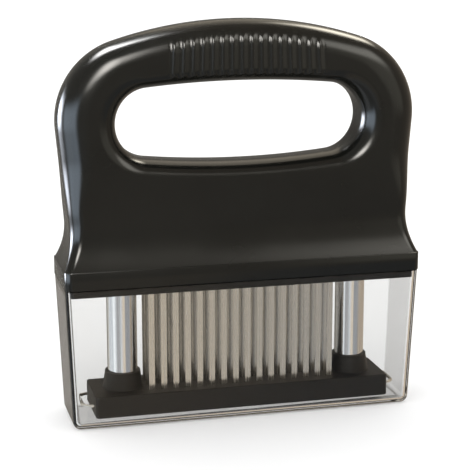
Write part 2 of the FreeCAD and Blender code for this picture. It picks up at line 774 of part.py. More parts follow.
def cut_blade_slots(body, name, level, depth, width, thickness, reverse=False):
    """One slot for each blade of the three rows, cut from a level."""
    slot = new_sketch(body, name, TOP_VIEW, level)
    draw_rectangle(slot, f"({width}) / 2", f"({thickness}) / 2", "-row_length / 2", "-row_pitch")
    first = pocket(body, slot, depth, reverse=reverse)
    slots = body.newObject("PartDesign::LinearPattern", name + "_rows")
    slots.Originals = [first]
    slots.Direction = (slot, ["H_Axis"])
    slots.setExpression("Length", linked("row_length"))
    slots.setExpression("Occurrences", linked("blade_count"))
    slots.Direction2 = (slot, ["V_Axis"])
    slots.setExpression("Length2", linked("2 * row_pitch"))
    slots.Occurrences2 = 3
    body.Tip = slots


def make_base_plate():
    """The lip that drops into the guard, with a rim that centres it in the handle."""
    body = new_body("lip")
    lip = new_sketch(body, "lip_plate", TOP_VIEW, "lip_bottom")
    draw_rounded_rectangle(
        lip, "overall_length / 2 - lip_inset", "overall_depth / 2 - lip_inset", "lip_corner_radius"
    )
    pad(body, lip, "flange_bottom - lip_bottom")
    rim = new_sketch(body, "locating_rim", TOP_VIEW, "flange_bottom")
    draw_rectangle(rim, "rim_half_length", "rim_half_depth")
    draw_rectangle(rim, "rim_half_length - locating_rim_wall", "rim_half_depth - locating_rim_wall")
    pad(body, rim, "locating_rim_height")
    posts = new_sketch(body, "clamp_posts", TOP_VIEW, "flange_bottom")
    draw_circles(posts, "clamp_post_radius", "clamp_screw_x", "clamp_screw_y")
    pad(body, posts, "cassette_height")
    bores = new_sketch(body, "bush_bores", TOP_VIEW, "lip_bottom")
    draw_circles(bores, "bush_outer_radius + fit_clearance", "post_x")
    pocket(body, bores, "flange_bottom - lip_bottom", reverse=True)
    recesses = new_sketch(body, "bush_collar_recesses", TOP_VIEW, "lip_bottom")
    draw_circles(recesses, "bush_collar_radius + fit_clearance", "post_x")
    pocket(body, recesses, "bush_collar_thickness", reverse=True)
    holes = new_sketch(body, "base_screw_holes", TOP_VIEW, "lip_bottom")
    draw_circles(holes, "base_screw_radius + fit_clearance", "base_screw_x", "base_screw_y")
    pocket(body, holes, "flange_bottom - lip_bottom", reverse=True)
    heads = new_sketch(body, "base_screw_recesses", TOP_VIEW, "lip_bottom")
    draw_circles(heads, "base_screw_head_radius + fit_clearance", "base_screw_x", "base_screw_y")
    pocket(body, heads, "base_screw_head_height", reverse=True)
    pilots = new_sketch(body, "clamp_screw_pilots", TOP_VIEW, "cassette_top")
    draw_circles(pilots, "clamp_screw_radius + fit_clearance", "clamp_screw_x", "clamp_screw_y")
    pocket(body, pilots, "clamp_screw_length - clamp_plate_thickness")
    cut_blade_slots(
        body,
        "plate_slots",
        "lip_bottom",
        "flange_bottom - lip_bottom",
        "blade_width + 2 * guide_clearance",
        "blade_thickness + 2 * guide_clearance",
        reverse=True,
    )
    return body


def make_cassette(row, across_row):
    """A bar that hangs one row of blades by their heads."""
    body = new_body(f"cassette_{row}")
    bar = new_sketch(body, f"cassette_{row}_bar", TOP_VIEW, "flange_bottom")
    draw_rectangle(bar, "cassette_length / 2", "cassette_depth / 2", "0", across_row)
    pad(body, bar, "cassette_height")
    for name, width, depth in (
        ("shank_slot", "blade_width", "cassette_height"),
        ("head_slot", "blade_head_width", "blade_head_height"),
    ):
        slot = new_sketch(body, f"{name}_{row}", TOP_VIEW, "cassette_top")
        draw_rectangle(
            slot,
            f"{width} / 2 + blade_clearance",
            "blade_thickness / 2 + blade_clearance",
            "-row_length / 2",
            across_row,
        )
        row_along_x(body, pocket(body, slot, depth), "blade_pitch", "blade_count")
    return body


def make_blades(row, across_row):
    """Sixteen flat blades with pointed tips and T-shaped heads."""
    body = new_body(f"blade_set_{row}")
    blade = new_sketch(body, f"blade_{row}", FRONT_VIEW, f"-({across_row})", "-row_length / 2")
    shank, head = "blade_width / 2", "blade_head_width / 2"
    shoulder = "cassette_top - blade_head_height"
    bevel = "blade_tip + blade_point"
    draw_polygon(
        blade,
        [
            ("0", "blade_tip"),
            (shank, bevel),
            (shank, shoulder),
            (head, shoulder),
            (head, "cassette_top"),
            (f"-{head}", "cassette_top"),
            (f"-{head}", shoulder),
            (f"-{shank}", shoulder),
            (f"-{shank}", bevel),
        ],
    )
    row_along_x(body, pad(body, blade, "blade_thickness", symmetric=True), "blade_pitch", "blade_count")
    return body


def make_clamp_plate():
    body = new_body("clamp")
    plate = new_sketch(body, "clamp_plate_blank", TOP_VIEW, "cassette_top")
    draw_rectangle(plate, "cassette_length / 2", "clamp_plate_depth / 2")
    pad(body, plate, "clamp_plate_thickness")
    holes = new_sketch(body, "clamp_holes", TOP_VIEW, "cassette_top")
    draw_circles(holes, "clamp_screw_radius + fit_clearance", "clamp_screw_x", "clamp_screw_y")
    pocket(body, holes, "clamp_plate_thickness", reverse=True)
    return body


def make_screws(name, shank, head, seat, tip, top, across, up):
    """Four equal screws at the corners of a rectangle, each turned about its own axis."""
    body = new_body(name)
    profile = new_sketch(body, f"{name}_profile", FRONT_VIEW, up, f"-({across})")
    draw_polygon(profile, [("0", top), (head, top), (head, seat), (shank, seat), (shank, tip), ("0", tip)])
    screw = revolve(body, profile)
    screws = body.newObject("PartDesign::LinearPattern", f"{name}_pattern")
    screws.Originals = [screw]
    screws.Direction = (origin_feature(body, "X_Axis"), [""])
    screws.setExpression("Length", linked(f"2 * ({across})"))
    screws.Occurrences = 2
    screws.Direction2 = (origin_feature(body, "Y_Axis"), [""])
    screws.setExpression("Length2", linked(f"2 * ({up})"))
    screws.Occurrences2 = 2
    body.Tip = screws
    return body


# ---- posts, bushes and springs --------------------------------------------------------------


def make_turned(name, corners, side):
    """A turned piece about the vertical axis of the post at +x or -x."""
    body = new_body(f"{name}_{side}")
    across = "post_x" if side == "right" else "-post_x"
    profile = new_sketch(body, f"{name}_{side}_profile", FRONT_VIEW, "0", across)
    draw_polygon(profile, corners)
    revolve(body, profile)
    return body


POST_TUBE = [
    ("tube_bore", "plug_seat"),
    ("post_radius", "plug_seat"),
    ("post_radius", "stop_bottom"),
    ("stop_radius", "stop_bottom"),
    ("stop_radius", "post_top"),
    ("tube_bore", "post_top"),
]
GUIDE_BUSH = [
    ("post_radius + fit_clearance", "lip_bottom"),
    ("bush_collar_radius", "lip_bottom"),
    ("bush_collar_radius", "lip_bottom + bush_collar_thickness"),
    ("bush_outer_radius", "lip_bottom + bush_collar_thickness"),
    ("bush_outer_radius", "bush_top"),
    ("post_radius + fit_clearance", "bush_top"),
]
GROOVE_HALF = "(clip_wire_radius + clip_clearance)"
POST_PLUG = [
    ("0", "plug_bottom"),
    ("plug_head_radius", "plug_bottom"),
    ("plug_head_radius", f"clip_z - {GROOVE_HALF}"),
    ("plug_head_radius - clip_groove_depth", f"clip_z - {GROOVE_HALF}"),
    ("plug_head_radius - clip_groove_depth", f"clip_z + {GROOVE_HALF}"),
    ("plug_head_radius", f"clip_z + {GROOVE_HALF}"),
    ("plug_head_radius", "plug_seat"),
    ("tube_bore - fit_clearance", "plug_seat"),
    ("tube_bore - fit_clearance", "plug_top"),
    ("0", "plug_top"),
]


def make_spring(side):
    """A compression spring of square wire, bent in flat steps from the plug to the handle."""
    steps_per_turn = 10
    turns = int(mm("spring_turns"))
    half_wire = mm("spring_wire / 2")
    low, high = mm("plug_top") + half_wire, mm("cavity_top") - half_wire
    radius = mm("spring_radius")
    count = turns * steps_per_turn
    rings = []
    for step in range(count + 1):
        turn = 2 * math.pi * step / steps_per_turn
        level = low + (high - low) * step / count
        rings.append(
            [
                FreeCAD.Vector(reach * math.cos(turn), reach * math.sin(turn), level + rise)
                for reach, rise in (
                    (radius - half_wire, -half_wire),
                    (radius + half_wire, -half_wire),
                    (radius + half_wire, half_wire),
                    (radius - half_wire, half_wire),
                )
            ]
        )
    faces = [Part.Face(Part.makePolygon([*ring, ring[0]])) for ring in (rings[0], rings[-1])]
    for ring, following in zip(rings, rings[1:]):
        for corner in range(4):
            after = (corner + 1) % 4
            near_edge, far_edge = (ring[corner], ring[after]), (following[corner], following[after])
            faces.append(Part.Face(Part.makePolygon([*near_edge, far_edge[1], near_edge[0]])))
            faces.append(Part.Face(Part.makePolygon([near_edge[0], far_edge[1], far_edge[0], near_edge[0]])))
    coil = Part.makeSolid(Part.makeShell(faces))
    if coil.Volume < 0:
        coil.reverse()
    spring = doc.addObject("Part::Feature", f"spring_{side}")
    spring.Shape = coil
    return spring


# ---- foot plate and clips -------------------------------------------------------------------


def mirror_across(body, feature):
    """Repeats a feature on the other side of the tool's middle."""
    mirrored = body.newObject("PartDesign::Mirrored", feature.Name + "_pair")
    mirrored.Originals = [feature]
    mirrored.MirrorPlane = (origin_feature(body, SIDE_VIEW), [""])
    body.Tip = mirrored
    return mirrored


def make_foot():
    """The foot plate that presses on the meat, with a boss round each post."""
    body = new_body("foot")
    plate = new_sketch(body, "foot_blank", TOP_VIEW, "foot_bottom")
    draw_rounded_rectangle(plate, "foot_length / 2", "foot_depth / 2", "foot_corner_radius")
    blank = pad(body, plate, "foot_thickness")
    levels = (mm("foot_bottom"), mm("foot_top"))
    rounded = fillet(
        body, blank, "foot_rim_radius", lambda edge: any(at_level(edge, level) for level in levels)
    )
    body.Tip = rounded
    boss = new_sketch(body, "boss", FRONT_VIEW, "0", "post_x")
    draw_polygon(
        boss,
        [
            ("0", "foot_bottom + foot_thickness / 2"),
            ("boss_base_radius", "foot_bottom + foot_thickness / 2"),
            ("boss_base_radius", "foot_top"),
            ("boss_top_radius", "boss_top"),
            ("0", "boss_top"),
        ],
    )
    bosses = mirror_across(body, revolve(body, boss))
    base = mm("boss_base_radius")
    fillet(
        body,
        bosses,
        "boss_fillet_radius",
        lambda edge: at_level(edge, levels[1]) and near(edge.BoundBox.YMax, base) and edge.BoundBox.XLength > base,
    )
    bores = new_sketch(body, "post_bores", TOP_VIEW, "boss_top")
    draw_circles(bores, "post_radius + fit_clearance", "post_x")
    pocket(body, bores, "boss_top - foot_bottom")
    wells = new_sketch(body, "plug_wells", TOP_VIEW, "foot_bottom")
    draw_circles(wells, "plug_head_radius + fit_clearance", "post_x")
    pocket(body, wells, "plug_seat - foot_bottom", reverse=True)
    cut_blade_slots(
        body,
        "foot_slots",
        "foot_bottom",
        "foot_thickness",
        "blade_width + 2 * guide_clearance",
        "blade_thickness + 2 * guide_clearance",
        reverse=True,
    )
    legs = new_sketch(body, "clip_holes", SIDE_VIEW, "foot_length / 2")
    draw_circle(legs, "clip_wire_radius + clip_clearance", "clip_y", "clip_z")
    draw_circle(legs, "clip_wire_radius + clip_clearance", "-clip_y", "clip_z")
    mirror_across(body, pocket(body, legs, "foot_length / 2 - clip_start + end_clearance"))
    return body


def make_clip(side):
    """A bent wire whose legs lie in the plug's groove and whose loop is a finger pull."""
    body = new_body(f"clip_{side}")
    loop = "foot_length / 2 + clip_reach"
    bend = f"{loop} - clip_bend_radius"
    path = new_sketch(body, f"clip_{side}_path", TOP_VIEW, "clip_z")
    start_x, loop_x, bend_x = mm("clip_start"), mm(loop), mm(bend)
    leg_y, turn = mm("clip_y"), mm("clip_bend_radius")
    for edge in (
        line((start_x, -leg_y), (bend_x, -leg_y)),
        arc(bend_x, turn - leg_y, turn, -90, 0),
        line((loop_x, turn - leg_y), (loop_x, leg_y - turn)),
        arc(bend_x, leg_y - turn, turn, 0, 90),
        line((bend_x, leg_y), (start_x, leg_y)),
    ):
        path.addGeometry(edge)
    for edge in range(4):
        constrain(path, "Tangent", edge, 2, edge + 1, 1)
    for bend_arc, way in ((1, "-"), (3, "")):
        constrain(path, "Radius", bend_arc, size="clip_bend_radius")
        place(path, bend_arc, 3, bend, f"{way}(clip_y - clip_bend_radius)")
    place(path, 0, 1, "clip_start", "-clip_y")
    place(path, 4, 2, "clip_start", "clip_y")
    wire = new_sketch(body, f"clip_{side}_wire", SIDE_VIEW, "clip_start")
    draw_circle(wire, "clip_wire_radius", "-clip_y", "clip_z")
    bent = body.newObject("PartDesign::AdditivePipe", f"clip_{side}_bend")
    bent.Profile = wire
    bent.Spine = (path, [])
    return body


# ---- the whole tool -------------------------------------------------------------------------

finish(make_cover(), "clear_cover")
finish(make_handle(), "handle_body")
finish(make_base_plate(), "base_plate")
for row, across_row in (("front", "-row_pitch"), ("middle", "0"), ("rear", "row_pitch")):
    finish(make_cassette(row, across_row), f"blade_cassette_{row}")
    finish(make_blades(row, across_row), f"blades_{row}")
finish(make_clamp_plate(), "clamp_plate")
finish(
    make_screws(
        "clamp_screw_set",
        "clamp_screw_radius",
        "clamp_screw_head_radius",
        "clamp_top",
        "clamp_top - clamp_screw_length + end_clearance",
        "clamp_top + clamp_screw_head_height",
        "clamp_screw_x",
        "clamp_screw_y",
    ),
    "clamp_screws",
)
finish(
    make_screws(
        "base_screw_set",
        "base_screw_radius",
        "base_screw_head_radius",
        "lip_bottom + base_screw_head_height",
        "flange_bottom + base_screw_length - end_clearance",
        "lip_bottom",
        "base_screw_x",
        "base_screw_y",
    ),
    "base_plate_screws",
)
for side, turn in (("left", 180), ("right", 0)):
    finish(make_turned("guide", GUIDE_BUSH, side), f"guide_bush_{side}")
    finish(make_turned("tube", POST_TUBE, side), f"post_tube_{side}")
    finish(make_turned("plug", POST_PLUG, side), f"post_plug_{side}")
    finish(make_spring(side), f"return_spring_{side}", "post_x" if side == "right" else "-post_x")
    finish(make_clip(side), f"retaining_clip_{side}", turn=turn)
finish(make_foot(), "foot_plate")
doc.recompute()

for item in doc.Objects:
    if "Invalid" in item.State or "Error" in item.State:
        raise RuntimeError(f"{item.Name} could not be made: {item.State}")
for piece in PARTS:
    if piece.Shape.isNull() or not piece.Shape.isValid():
        raise RuntimeError(f"{piece.Label} has no valid shape")

os.makedirs("parts", exist_ok=True)
for piece in PARTS:
    piece.Shape.exportStep(f"parts/{piece.Label}.step")
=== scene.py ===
"""Blade meat tenderizer standing in its clear guard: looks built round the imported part. Metres."""

import math

import bpy
import numpy as np
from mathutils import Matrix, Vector


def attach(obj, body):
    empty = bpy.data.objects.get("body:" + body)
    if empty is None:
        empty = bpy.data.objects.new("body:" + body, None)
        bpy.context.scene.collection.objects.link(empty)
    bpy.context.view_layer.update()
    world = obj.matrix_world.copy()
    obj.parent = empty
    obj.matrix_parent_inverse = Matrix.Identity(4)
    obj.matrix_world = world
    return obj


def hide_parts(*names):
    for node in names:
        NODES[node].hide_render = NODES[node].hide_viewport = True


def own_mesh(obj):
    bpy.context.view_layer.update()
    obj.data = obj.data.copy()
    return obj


MM = 0.001

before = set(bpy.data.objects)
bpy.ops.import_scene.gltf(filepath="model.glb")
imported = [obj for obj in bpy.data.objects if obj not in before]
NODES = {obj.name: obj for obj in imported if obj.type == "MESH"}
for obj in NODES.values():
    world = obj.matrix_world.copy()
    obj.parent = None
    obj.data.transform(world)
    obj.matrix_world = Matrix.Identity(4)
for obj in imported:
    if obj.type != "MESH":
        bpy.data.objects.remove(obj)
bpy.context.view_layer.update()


# ---- camera ---------------------------------------------------------------------------------

VIEW_AZIMUTH = 14.45  # degrees to the tool's left of straight in front
VIEW_ELEVATION = 12.89
VIEW_DISTANCE = 631.8 * MM
VIEW_TARGET = Vector((-0.95, 0.0, 75.0)) * MM
LENS, SENSOR_WIDTH = 115.9, 36.0  # mm, as Blender takes them
NEAREST_SEEN = 10.0 * MM


def seen_from(azimuth, elevation):
    """A unit vector from the tool towards a direction; 0 is straight in front, 90 the tool's right."""
    across, up = math.radians(azimuth), math.radians(elevation)
    return Vector((math.sin(across) * math.cos(up), -math.cos(across) * math.cos(up), math.sin(up)))


def make_camera():
    """The photograph's view."""
    camera = bpy.data.objects.new("camera", bpy.data.cameras.new("camera"))
    camera.data.lens = LENS
    camera.data.sensor_width = SENSOR_WIDTH
    camera.data.clip_start = NEAREST_SEEN
    camera.location = VIEW_TARGET + VIEW_DISTANCE * seen_from(-VIEW_AZIMUTH, VIEW_ELEVATION)
    towards = VIEW_TARGET - camera.location
    camera.rotation_euler = towards.to_track_quat("-Z", "Y").to_euler()
    bpy.context.scene.collection.objects.link(camera)
    bpy.context.scene.camera = camera


# ---- node helpers ---------------------------------------------------------------------------


class Nodes:
    """A material's node tree, with short calls for what the finishes here share."""

    def __init__(self, name):
        self.material = bpy.data.materials.new(name)
        self.material.use_nodes = True
        self.tree = self.material.node_tree
        self.shader = self.tree.nodes["Principled BSDF"]
        self.output = self.tree.nodes["Material Output"]
        self.place = self.add("ShaderNodeTexCoord").outputs["Object"]

    def add(self, kind):
        return self.tree.nodes.new(kind)

    def link(self, start, end):
        self.tree.links.new(start, end)

    def set(self, **values):
        """Sets sockets of the shader, named with underscores for spaces."""
        for name, value in values.items():
            self.shader.inputs[name.replace("_", " ")].default_value = value

    def feed(self, **sources):
        """Links outputs to sockets of the shader, named in the same way."""
        for name, source in sources.items():
            self.link(source, self.shader.inputs[name.replace("_", " ")])

    def noise(self, scale, detail=3.0, stretch=(1.0, 1.0, 1.0)):
        """Noise over the object's own metres: scale is how many of its waves fit in one."""
        mapping = self.add("ShaderNodeMapping")
        mapping.inputs["Scale"].default_value = stretch
        self.link(self.place, mapping.inputs["Vector"])
        noise = self.add("ShaderNodeTexNoise")
        noise.inputs["Scale"].default_value = scale
        noise.inputs["Detail"].default_value = detail
        self.link(mapping.outputs["Vector"], noise.inputs["Vector"])
        return noise.outputs["Fac"]

    def between(self, source, low, high, start=0.35, end=0.65):
        """Spreads the part of a value's range from start to end over low to high."""
        spread = self.add("ShaderNodeMapRange")
        for name, value in (("From Min", start), ("From Max", end), ("To Min", low), ("To Max", high)):
            spread.inputs[name].default_value = value
        self.link(source, spread.inputs["Value"])
        return spread.outputs["Result"]

    def blend(self, source, first, second, start=0.35, end=0.65):
        """A colour between two, by the part of a value's range from start to end."""
        ramp = self.add("ShaderNodeValToRGB")
        ramp.color_ramp.elements[0].position = start
        ramp.color_ramp.elements[0].color = (*first, 1)
        ramp.color_ramp.elements[1].position = end
        ramp.color_ramp.elements[1].color = (*second, 1)
        self.link(source, ramp.inputs["Fac"])
        return ramp.outputs["Color"]

    def bump(self, source, height):
        """Raises the surface by a value times a height."""
        bump = self.add("ShaderNodeBump")
        bump.inputs["Strength"].default_value = 1.0
        bump.inputs["Distance"].default_value = height
        self.link(source, bump.inputs["Height"])
        self.feed(Normal=bump.outputs["Normal"])

    def output_mix(self, share, first, second):
        """Sends the output a mix of two shaders."""
        mix = self.add("ShaderNodeMixShader")
        self.link(share, mix.inputs["Fac"])
        self.link(first.outputs["BSDF"], mix.inputs[1])
        self.link(second.outputs["BSDF"], mix.inputs[2])
        self.link(mix.outputs["Shader"], self.output.inputs["Surface"])


# ---- materials ------------------------------------------------------------------------------

# the darker and the lighter tone of each finish
GLOSS_TONES = (0.0060, 0.0060, 0.0051), (0.0072, 0.0072, 0.0061)
BASE_TONES = (0.017, 0.015, 0.013), (0.023, 0.020, 0.017)
FOOT_TONES = (0.0115, 0.0092, 0.0070), (0.0155, 0.0124, 0.0096)
FRAME_TONES = (0.10, 0.10, 0.10), (0.12, 0.12, 0.12)
BUSH_TONES = (0.55, 0.55, 0.53), (0.60, 0.60, 0.58)
BLADE_TONES = (0.71, 0.69, 0.65), (0.76, 0.74, 0.70)
POST_TONES = (0.78, 0.78, 0.78), (0.86, 0.86, 0.86)
WIRE_TONES = (0.70, 0.69, 0.66), (0.82, 0.81, 0.78)
SCREW_TONES = (0.55, 0.55, 0.55), (0.66, 0.66, 0.66)
FLOOR_TONES = (0.935, 0.935, 0.935), (0.95, 0.95, 0.95)

BLADE_GRAIN, POST_GRAIN = (1.0, 1.0, 0.01), (1.0, 1.0, 0.02)  # both drawn out upwards
CLEAR_FACE, CLEAR_EDGE = (0.85, 0.85, 0.845), (0.16, 0.146, 0.138)  # seen squarely, and at a slant
CLEAR_GLINT = (0.15, 0.15, 0.15, 1.0)  # how strongly it mirrors
CLEAR_SHADOW = (0.95, 0.95, 0.95, 1.0)  # what each wall lets through of the light that makes shadows


def gloss_plastic():
    """Polished black moulding: deep, with a faint flow and the least orange peel."""
    nodes = Nodes("gloss_black_plastic")
    cloud = nodes.noise(scale=38.0)
    nodes.feed(Base_Color=nodes.blend(cloud, *GLOSS_TONES))
    nodes.feed(Roughness=nodes.between(cloud, low=0.15, high=0.19))
    nodes.bump(nodes.noise(scale=900.0, detail=2.0), height=0.004 * MM)
    nodes.set(IOR=1.3)
    return nodes.material


def satin_plastic(name, dark, light, roughness):
    """Moulded plastic straight from a spark-finished tool: cloudy, no polish."""
    nodes = Nodes(name)
    cloud = nodes.noise(scale=70.0)
    nodes.feed(Base_Color=nodes.blend(cloud, dark, light))
    nodes.feed(Roughness=nodes.between(cloud, low=roughness - 0.04, high=roughness + 0.05))
    nodes.set(IOR=1.45)
    return nodes.material


def clear_plastic():
    """Clear polystyrene. Light that makes shadows passes straight through it."""
    nodes = Nodes("clear_plastic")
    nodes.set(Roughness=0.0, IOR=1.5, Transmission_Weight=1.0, Specular_Tint=CLEAR_GLINT)
    slant = nodes.add("ShaderNodeLayerWeight")
    slant.inputs["Blend"].default_value = 0.5
    tint = nodes.blend(slant.outputs["Facing"], CLEAR_FACE, CLEAR_EDGE, start=0.53, end=0.90)
    nodes.feed(Base_Color=tint)
    through = nodes.add("ShaderNodeBsdfTransparent")
    through.inputs["Color"].default_value = CLEAR_SHADOW
    path = nodes.add("ShaderNodeLightPath")
    nodes.output_mix(path.outputs["Is Shadow Ray"], nodes.shader, through)
    return nodes.material


def steel(name, dark, light, roughness, grain=(1.0, 1.0, 1.0), scale=600.0, height=0.004 * MM):
    """Bright steel with the fine lines of its rolling or drawing, stretched along its grain."""
    nodes = Nodes(name)
    lines = nodes.noise(scale, detail=4.0, stretch=grain)
    nodes.feed(Base_Color=nodes.blend(lines, dark, light))
    nodes.feed(Roughness=nodes.between(lines, low=roughness - 0.05, high=roughness + 0.06))
    nodes.bump(lines, height)
    nodes.set(Metallic=1.0)
    return nodes.material


# ---- handle ---------------------------------------------------------------------------------

FLANGE_LOW, FLANGE_HIGH = 59.5 * MM, 67.15 * MM
HALF_LENGTH, HALF_DEPTH = 75.0 * MM, 17.5 * MM
TOP = 165.0 * MM
FLANGE_CORNER, FLANGE_INNER_CORNER, CORNER_STEPS = 3.0 * MM, 0.8 * MM, 6
FLANGE_WALL, FLANGE_SOFT = 3.2 * MM, 0.3 * MM  # its ring's breadth, and its edges' rounding
LEDGE = 0.35 * MM  # the trunk stands this far inside the flange's edge
FOOT_Z = FLANGE_HIGH - 0.5 * MM  # and its skin runs down into the flange, to this level
CROWN, SHOULDER, WAIST = 169.4 * MM, 33.5 * MM, 33.8 * MM  # the outline's radii
CROWN_Z = TOP - CROWN  # the level of the crown's centre
WAIST_INSET = 3.6 * MM  # how far the waist draws in from the overall length
LEVELLING = 12.0 * MM  # within this height above the flange the inward directions turn level
CROWN_THICKNESS, TRUNK_THICKNESS = 21.8 * MM, 25.3 * MM  # at the top, and above the flare
FLARE_HEIGHT = 16.0 * MM
ROUNDING = (  # level, how far the edge's rounding reaches in from the outline, and how deep it is, mm
    (67.0, 3.2, 3.2),
    (87.0, 6.0, 6.0),
    (110.0, 12.0, 9.6),
    (145.0, 12.0, 9.6),
    (162.0, 10.0, 9.8),
)
OPENING_HALF = 51.7 * MM
OPENING_TOP, OPENING_LOW = 140.1 * MM, 107.6 * MM
OPENING_TOP_RADIUS, OPENING_LOW_RADIUS = 400.0 * MM, 360.0 * MM
OPENING_REACH, OPENING_DEEP = 5.6 * MM, 10.0 * MM  # its rim's rounding above and below
OPENING_END_REACH, OPENING_END_DEEP = 8.4 * MM, 7.6 * MM  # and at its two ends
OPENING_STEPS = 600  # points on each of its four arcs
RIB_COUNT, RIB_PITCH, RIB_WIDTH, RIB_RISE = 16, 4.0 * MM, 1.6 * MM, 0.36 * MM
RIB_MIDDLE = 1.8 * MM  # the ribs sit this far right of the tool's middle
RIB_EDGE = 1.3 * MM  # how far a rib's side takes to rise
RIB_FOOT, RIB_HEAD = 142.3 * MM, 4.0 * MM  # lower ends' level; upper ends' depth below the crown
RIB_GROOVE = 0.15  # depth of the fine groove between two ribs, as a share of their rise
RIB_END, RIB_HEAD_END = 1.6 * MM, 3.5 * MM  # how far its lower and upper ends take to rise
RIB_STEPS = 16  # columns across one rib and its gap
RIB_FIELD = RIB_PITCH * (RIB_COUNT + 2) / 2  # half the width that keeps upright columns
COLUMN_FADE = 16.0 * MM  # beyond them, the width over which upright columns come to lean
COLUMN = 1.3 * MM  # columns elsewhere
FOOT_COLUMNS = 72  # along the trunk's foot
TURN_ROWS, FACE_ROWS = 26, 20  # rows round an edge, and across the flank
FRONTWARDS = (0.0, -1.0, 0.0)
SPINE, SPINE_Z = 35.0 * MM, 123.5 * MM  # half the opening's middle line, and its level
END_TURN = 20.0 * MM  # the radius that lengths round the line's two ends are counted at


def smooth(share):
    """A soft step from 0 to 1."""
    share = np.clip(share, 0.0, 1.0)
    return share * share * (3 - 2 * share)


def arc(centre, radius, start, end, places=None):
    """Points and radial directions on an arc, at given shares of it or every COLUMN."""
    if places is None:
        count = max(2, round(abs(end - start) * radius / COLUMN))
        places = np.linspace(0.0, 1.0, count, endpoint=False)
    turn = start + (end - start) * np.asarray(places)
    out = np.stack([np.cos(turn), np.sin(turn)], axis=1)
    return np.array(centre) + radius * out, out


def outline():
    """The trunk's front outline, right foot to left foot over the crown: points, inward normals."""
    half = HALF_LENGTH - LEDGE
    shoulder = np.array([HALF_LENGTH - SHOULDER, 0.0])
    shoulder[1] = CROWN_Z + math.sqrt((CROWN - SHOULDER) ** 2 - shoulder[0] ** 2)
    waist_x = HALF_LENGTH - WAIST_INSET + WAIST
    waist = np.array([waist_x, FLANGE_HIGH + math.sqrt(WAIST**2 - (waist_x - half) ** 2)])
    gap = waist - shoulder
    lean = math.atan2(gap[1], gap[0]) + math.acos((SHOULDER + WAIST) / np.hypot(*gap))
    foot = math.asin((FOOT_Z - waist[1]) / WAIST)
    crest = math.atan2(shoulder[1] - CROWN_Z, shoulder[0])
    waist_points, waist_out = arc(waist, WAIST, -math.pi - foot, -math.pi + lean)
    side_out = np.array([math.cos(lean), math.sin(lean)])
    low, high = waist - WAIST * side_out, shoulder + SHOULDER * side_out
    count = round(np.hypot(*(high - low)) / COLUMN)
    side_points = low + (high - low) * np.linspace(0.0, 1.0, count, endpoint=False)[:, None]
    shoulder_points, shoulder_out = arc(shoulder, SHOULDER, lean, crest)
    edge = math.acos(RIB_FIELD / CROWN)
    bend_points, bend_out = arc((0.0, CROWN_Z), CROWN, crest, edge)
    across = np.linspace(RIB_FIELD, 0.0, round(RIB_FIELD / RIB_PITCH * RIB_STEPS) + 1)
    turns = np.arccos(across / CROWN)
    ribbed_points, ribbed_out = arc((0.0, CROWN_Z), CROWN, 0.0, 1.0, turns)
    points = np.concatenate([waist_points, side_points, shoulder_points, bend_points, ribbed_points])
    side_in = np.repeat(-side_out[None], len(side_points), 0)
    normals = np.concatenate([waist_out, side_in, -shoulder_out, -bend_out, -ribbed_out])
    tilt = smooth((points[:, 1] - FLANGE_HIGH) / LEVELLING)
    normals[:, 1] *= np.where(points[:, 1] < waist[1], tilt, 1.0)
    normals /= np.hypot(normals[:, 0], normals[:, 1])[:, None]
    flip = np.array([-1.0, 1.0])
    return (
        np.concatenate([points, points[-2::-1] * flip]),
        np.concatenate([normals, normals[-2::-1] * flip]),
    )


def opening():
    """The finger opening, clockwise from its top left: points and normals into the moulding."""
    upper, lower, half = OPENING_TOP_RADIUS, OPENING_LOW_RADIUS, OPENING_HALF
    upper_z, lower_z = OPENING_TOP - upper, OPENING_LOW + lower
    # the end arcs touch the upper and the lower one, and reach the half width
    spread = lower_z - upper_z
    share = (upper - lower) / spread
    level = (spread + share * (upper + lower)) / 2
    slope = upper - half - level * share
    rest = half**2 + level**2 - upper**2
    radius = rest / (-slope - math.sqrt(slope**2 - share**2 * rest))
    end_x, end_z = half - radius, upper_z + level - share * radius
    high, low = math.atan2(end_z - upper_z, end_x), math.atan2(end_z - lower_z, end_x)
    dense = np.linspace(0.0, 1.0, OPENING_STEPS, endpoint=False)
    runs = [
        arc((0.0, upper_z), upper, math.pi - high, high, dense),
        arc((end_x, end_z), radius, high, low, dense),
        arc((0.0, lower_z), lower, low, -math.pi - low, dense),
        arc((-end_x, end_z), radius, -math.pi - low, -math.pi - high, dense),
    ]
    return np.concatenate([points for points, _ in runs]), np.concatenate([out for _, out in runs])


def around(points):
    """Where points lie going clockwise round the opening's middle line, as a growing length."""
    near = np.clip(points[:, 0], -SPINE, SPINE)
    turn = np.arctan2(points[:, 0] - near, points[:, 1] - SPINE_Z) % (2 * math.pi)
    top = (points[:, 1] > SPINE_Z) & (np.abs(points[:, 0]) <= SPINE)
    low = (points[:, 1] <= SPINE_Z) & (np.abs(points[:, 0]) <= SPINE)
    ends = np.where(turn < math.pi, SPINE, 3 * SPINE) + END_TURN * turn
    return np.where(top, near, np.where(low, 2 * SPINE + END_TURN * math.pi - near, ends))


def half_thickness(level):
    """From the middle plane to the flank: a taper, and a flare that sweeps out to the flange."""
    neck, root = TRUNK_THICKNESS / 2, HALF_DEPTH - LEDGE
    flare_top = FLANGE_HIGH + FLARE_HEIGHT
    lean = (TRUNK_THICKNESS - CROWN_THICKNESS) / 2 / (TOP - flare_top)
    flank = neck - lean * (level - flare_top)
    sweep = 2 * math.atan2(root - neck, FLARE_HEIGHT)
    hollow = FLARE_HEIGHT / math.sin(sweep)
    drop = np.clip(flare_top - level, 0.0, hollow)
    return np.where(level < flare_top, neck + hollow - np.sqrt(hollow**2 - drop**2), flank)


